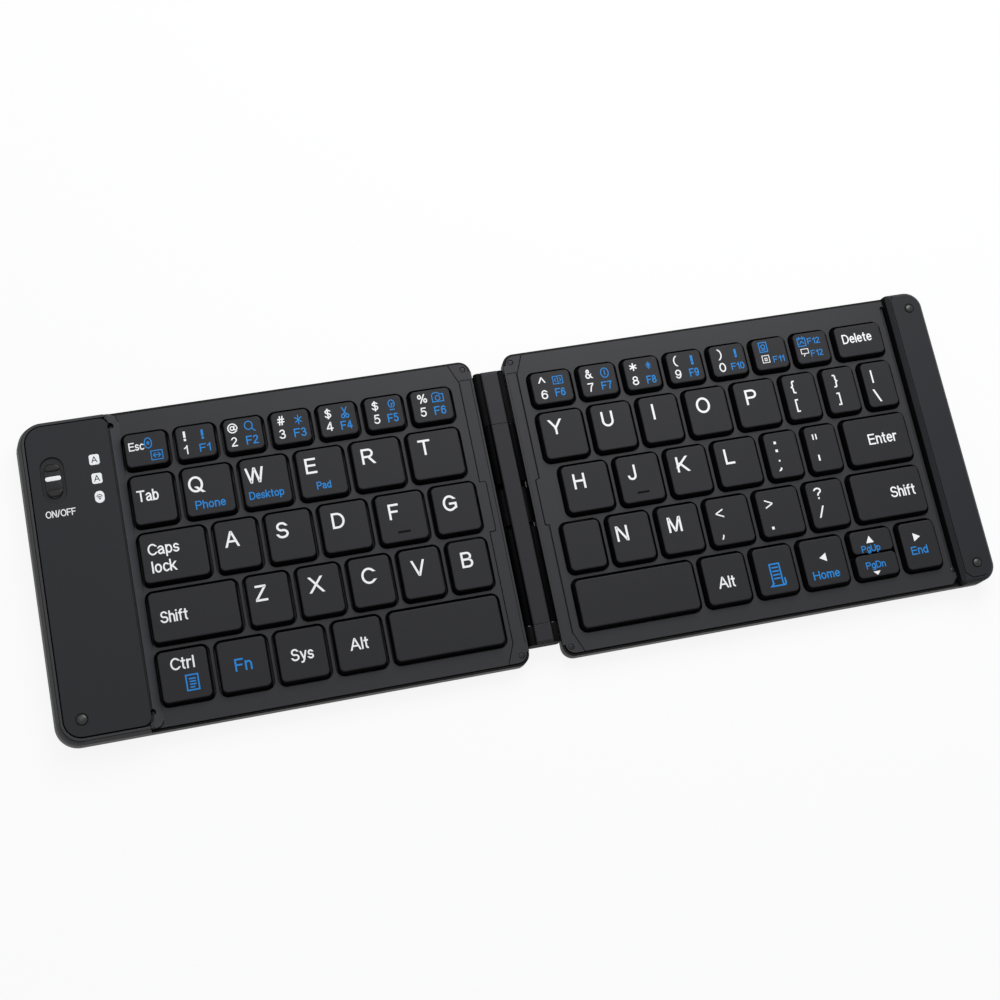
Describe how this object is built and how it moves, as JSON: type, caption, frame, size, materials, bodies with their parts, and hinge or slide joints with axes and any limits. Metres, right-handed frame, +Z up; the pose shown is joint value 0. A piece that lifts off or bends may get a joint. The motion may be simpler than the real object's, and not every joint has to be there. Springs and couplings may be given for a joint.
{
  "type": "folding keyboard",
  "caption": "Pocket keyboard in two halves joined by a spine with two fold axes, raised end blocks, low keys in their own openings and a slide switch",
  "frame": {"origin": "on the table midway between the two fold axes, centre of the footprint", "axes": "+X along the length towards the narrow end block, +Y from the front edge to the back edge, +Z up from the table"},
  "size_m": [0.2568, 0.0864, 0.0083],
  "materials": {
    "case": "fine matte texture",
    "cover": "fine matte texture",
    "deck": "fine matte texture",
    "hinge_metal": "black finish",
    "steel_plate": "punched sheet",
    "membrane": "translucent film",
    "silicone": "silicone",
    "link_plastic": "moulded",
    "screw": "dark zinc",
    "foot_rubber": "matte",
    "switch_metal": "stamped",
    "board": "solder mask",
    "battery_foil": "foil",
    "lens": "white translucent",
    "socket_metal": "stamped shell",
    "knob": "satin",
    "spine_cover": "satin",
    "hinge_block": "satin",
    "axle_steel": "ground",
    "ribbon": "polyimide film",
    "keycap": "fine matte texture"
  },
  "bodies": {
    "left_half": {"left_bottom_case": "case", "left_pod_cover": "cover", "left_key_deck": "deck", "left_hinge_cover": "deck", "left_hinge_leaf": "hinge_metal", "left_base_plate": "steel_plate", "left_membrane": "membrane", "left_rubber_domes": "silicone", "left_scissor_links": "link_plastic", "left_screws": "screw", "left_feet": "foot_rubber", "left_bumper": "foot_rubber", "switch_housing": "switch_metal", "main_circuit_board": "board", "battery_cell": "battery_foil", "indicator_lenses": "lens", "charging_socket": "socket_metal"},
    "spine": {"spine_bar": "spine_cover", "spine_end_blocks": "hinge_block", "hinge_axles": "axle_steel", "ribbon_cable": "ribbon"},
    "right_half": {"right_bottom_case": "case", "right_pod_cover": "cover", "right_key_deck": "deck", "right_hinge_cover": "deck", "right_hinge_leaf": "hinge_metal", "right_base_plate": "steel_plate", "right_membrane": "membrane", "right_rubber_domes": "silicone", "right_scissor_links": "link_plastic", "right_screws": "screw", "right_feet": "foot_rubber", "right_bumpers": "foot_rubber"},
    "power_switch": {"power_switch_knob": "knob"},
    "left_space_key_body": {"left_space_key": "keycap"},
    "left_shift_key_body": {"left_shift_key": "keycap"},
    "caps_lock_key_body": {"caps_lock_key": "keycap"},
    "tab_key_body": {"tab_key": "keycap"},
    "control_key_body": {"control_key": "keycap"},
    "function_key_body": {"function_key": "keycap"},
    "system_key_body": {"system_key": "keycap"},
    "left_alt_key_body": {"left_alt_key": "keycap"},
    "left_number_keys_body": {"left_number_keys": "keycap"},
    "left_upper_letter_keys_body": {"left_upper_letter_keys": "keycap"},
    "left_home_letter_keys_body": {"left_home_letter_keys": "keycap"},
    "left_lower_letter_keys_body": {"left_lower_letter_keys": "keycap"},
    "right_space_key_body": {"right_space_key": "keycap"},
    "enter_key_body": {"enter_key": "keycap"},
    "right_shift_key_body": {"right_shift_key": "keycap"},
    "delete_key_body": {"delete_key": "keycap"},
    "right_alt_key_body": {"right_alt_key": "keycap"},
    "menu_key_body": {"menu_key": "keycap"},
    "left_arrow_key_body": {"left_arrow_key": "keycap"},
    "up_arrow_key_body": {"up_arrow_key": "keycap"},
    "down_arrow_key_body": {"down_arrow_key": "keycap"},
    "right_arrow_key_body": {"right_arrow_key": "keycap"},
    "right_number_keys_body": {"right_number_keys": "keycap"},
    "right_upper_letter_keys_body": {"right_upper_letter_keys": "keycap"},
    "right_home_letter_keys_body": {"right_home_letter_keys": "keycap"},
    "right_lower_letter_keys_body": {"right_lower_letter_keys": "keycap"}
  },
  "joints": [
    {"name": "left_fold", "type": "hinge", "parent": "left_half", "child": "spine", "pos_m": [-0.00305, 0, 0.005], "axis": [0, -1, 0], "range_deg": [0, 90], "deforming": ["ribbon_cable"]},
    {"name": "right_fold", "type": "hinge", "parent": "spine", "child": "right_half", "pos_m": [0.00305, 0, 0.005], "axis": [0, -1, 0], "range_deg": [0, 90], "deforming": ["ribbon_cable"]},
    {"name": "switch_slide", "type": "slide", "parent": "left_half", "child": "power_switch", "axis": [0, 1, 0], "range_m": [0, 0.0014]},
    {"name": "left_number_keys_press", "type": "slide", "parent": "left_half", "child": "left_number_keys_body", "axis": [0, 0, -1], "range_m": [0, 0.0012], "stiffness_N_per_m": 3500, "deforming": ["left_rubber_domes", "left_scissor_links"]},
    {"name": "left_upper_letter_keys_press", "type": "slide", "parent": "left_half", "child": "left_upper_letter_keys_body", "axis": [0, 0, -1], "range_m": [0, 0.0012], "stiffness_N_per_m": 2500, "deforming": ["left_rubber_domes", "left_scissor_links"]},
    {"name": "left_home_letter_keys_press", "type": "slide", "parent": "left_half", "child": "left_home_letter_keys_body", "axis": [0, 0, -1], "range_m": [0, 0.0012], "stiffness_N_per_m": 2500, "deforming": ["left_rubber_domes", "left_scissor_links"]},
    {"name": "left_lower_letter_keys_press", "type": "slide", "parent": "left_half", "child": "left_lower_letter_keys_body", "axis": [0, 0, -1], "range_m": [0, 0.0012], "stiffness_N_per_m": 2500, "deforming": ["left_rubber_domes", "left_scissor_links"]},
    {"name": "right_number_keys_press", "type": "slide", "parent": "right_half", "child": "right_number_keys_body", "axis": [0, 0, -1], "range_m": [0, 0.0012], "stiffness_N_per_m": 3500, "deforming": ["right_rubber_domes", "right_scissor_links"]},
    {"name": "right_upper_letter_keys_press", "type": "slide", "parent": "right_half", "child": "right_upper_letter_keys_body", "axis": [0, 0, -1], "range_m": [0, 0.0012], "stiffness_N_per_m": 4000, "deforming": ["right_rubber_domes", "right_scissor_links"]},
    {"name": "right_home_letter_keys_press", "type": "slide", "parent": "right_half", "child": "right_home_letter_keys_body", "axis": [0, 0, -1], "range_m": [0, 0.0012], "stiffness_N_per_m": 3000, "deforming": ["right_rubber_domes", "right_scissor_links"]},
    {"name": "right_lower_letter_keys_press", "type": "slide", "parent": "right_half", "child": "right_lower_letter_keys_body", "axis": [0, 0, -1], "range_m": [0, 0.0012], "stiffness_N_per_m": 3000, "deforming": ["right_rubber_domes", "right_scissor_links"]},
    {"name": "left_space_key_press", "type": "slide", "parent": "left_half", "child": "left_space_key_body", "axis": [0, 0, -1], "range_m": [0, 0.0012], "stiffness_N_per_m": 500, "deforming": ["left_rubber_domes", "left_scissor_links"]},
    {"name": "left_shift_key_press", "type": "slide", "parent": "left_half", "child": "left_shift_key_body", "axis": [0, 0, -1], "range_m": [0, 0.0012], "stiffness_N_per_m": 500, "deforming": ["left_rubber_domes", "left_scissor_links"]},
    {"name": "caps_lock_key_press", "type": "slide", "parent": "left_half", "child": "caps_lock_key_body", "axis": [0, 0, -1], "range_m": [0, 0.0012], "stiffness_N_per_m": 500, "deforming": ["left_rubber_domes", "left_scissor_links"]},
    {"name": "tab_key_press", "type": "slide", "parent": "left_half", "child": "tab_key_body", "axis": [0, 0, -1], "range_m": [0, 0.0012], "stiffness_N_per_m": 500, "deforming": ["left_rubber_domes", "left_scissor_links"]},
    {"name": "control_key_press", "type": "slide", "parent": "left_half", "child": "control_key_body", "axis": [0, 0, -1], "range_m": [0, 0.0012], "stiffness_N_per_m": 500, "deforming": ["left_rubber_domes", "left_scissor_links"]},
    {"name": "function_key_press", "type": "slide", "parent": "left_half", "child": "function_key_body", "axis": [0, 0, -1], "range_m": [0, 0.0012], "stiffness_N_per_m": 500, "deforming": ["left_rubber_domes", "left_scissor_links"]},
    {"name": "system_key_press", "type": "slide", "parent": "left_half", "child": "system_key_body", "axis": [0, 0, -1], "range_m": [0, 0.0012], "stiffness_N_per_m": 500, "deforming": ["left_rubber_domes", "left_scissor_links"]},
    {"name": "left_alt_key_press", "type": "slide", "parent": "left_half", "child": "left_alt_key_body", "axis": [0, 0, -1], "range_m": [0, 0.0012], "stiffness_N_per_m": 500, "deforming": ["left_rubber_domes", "left_scissor_links"]},
    {"name": "right_space_key_press", "type": "slide", "parent": "right_half", "child": "right_space_key_body", "axis": [0, 0, -1], "range_m": [0, 0.0012], "stiffness_N_per_m": 500, "deforming": ["right_rubber_domes", "right_scissor_links"]},
    {"name": "enter_key_press", "type": "slide", "parent": "right_half", "child": "enter_key_body", "axis": [0, 0, -1], "range_m": [0, 0.0012], "stiffness_N_per_m": 500, "deforming": ["right_rubber_domes", "right_scissor_links"]},
    {"name": "right_shift_key_press", "type": "slide", "parent": "right_half", "child": "right_shift_key_body", "axis": [0, 0, -1], "range_m": [0, 0.0012], "stiffness_N_per_m": 500, "deforming": ["right_rubber_domes", "right_scissor_links"]},
    {"name": "delete_key_press", "type": "slide", "parent": "right_half", "child": "delete_key_body", "axis": [0, 0, -1], "range_m": [0, 0.0012], "stiffness_N_per_m": 500, "deforming": ["right_rubber_domes", "right_scissor_links"]},
    {"name": "right_alt_key_press", "type": "slide", "parent": "right_half", "child": "right_alt_key_body", "axis": [0, 0, -1], "range_m": [0, 0.0012], "stiffness_N_per_m": 500, "deforming": ["right_rubber_domes", "right_scissor_links"]},
    {"name": "menu_key_press", "type": "slide", "parent": "right_half", "child": "menu_key_body", "axis": [0, 0, -1], "range_m": [0, 0.0012], "stiffness_N_per_m": 500, "deforming": ["right_rubber_domes", "right_scissor_links"]},
    {"name": "left_arrow_key_press", "type": "slide", "parent": "right_half", "child": "left_arrow_key_body", "axis": [0, 0, -1], "range_m": [0, 0.0012], "stiffness_N_per_m": 500, "deforming": ["right_rubber_domes", "right_scissor_links"]},
    {"name": "up_arrow_key_press", "type": "slide", "parent": "right_half", "child": "up_arrow_key_body", "axis": [0, 0, -1], "range_m": [0, 0.0012], "stiffness_N_per_m": 500, "deforming": ["right_rubber_domes", "right_scissor_links"]},
    {"name": "down_arrow_key_press", "type": "slide", "parent": "right_half", "child": "down_arrow_key_body", "axis": [0, 0, -1], "range_m": [0, 0.0012], "stiffness_N_per_m": 500, "deforming": ["right_rubber_domes", "right_scissor_links"]},
    {"name": "right_arrow_key_press", "type": "slide", "parent": "right_half", "child": "right_arrow_key_body", "axis": [0, 0, -1], "range_m": [0, 0.0012], "stiffness_N_per_m": 500, "deforming": ["right_rubber_domes", "right_scissor_links"]}
  ]
}
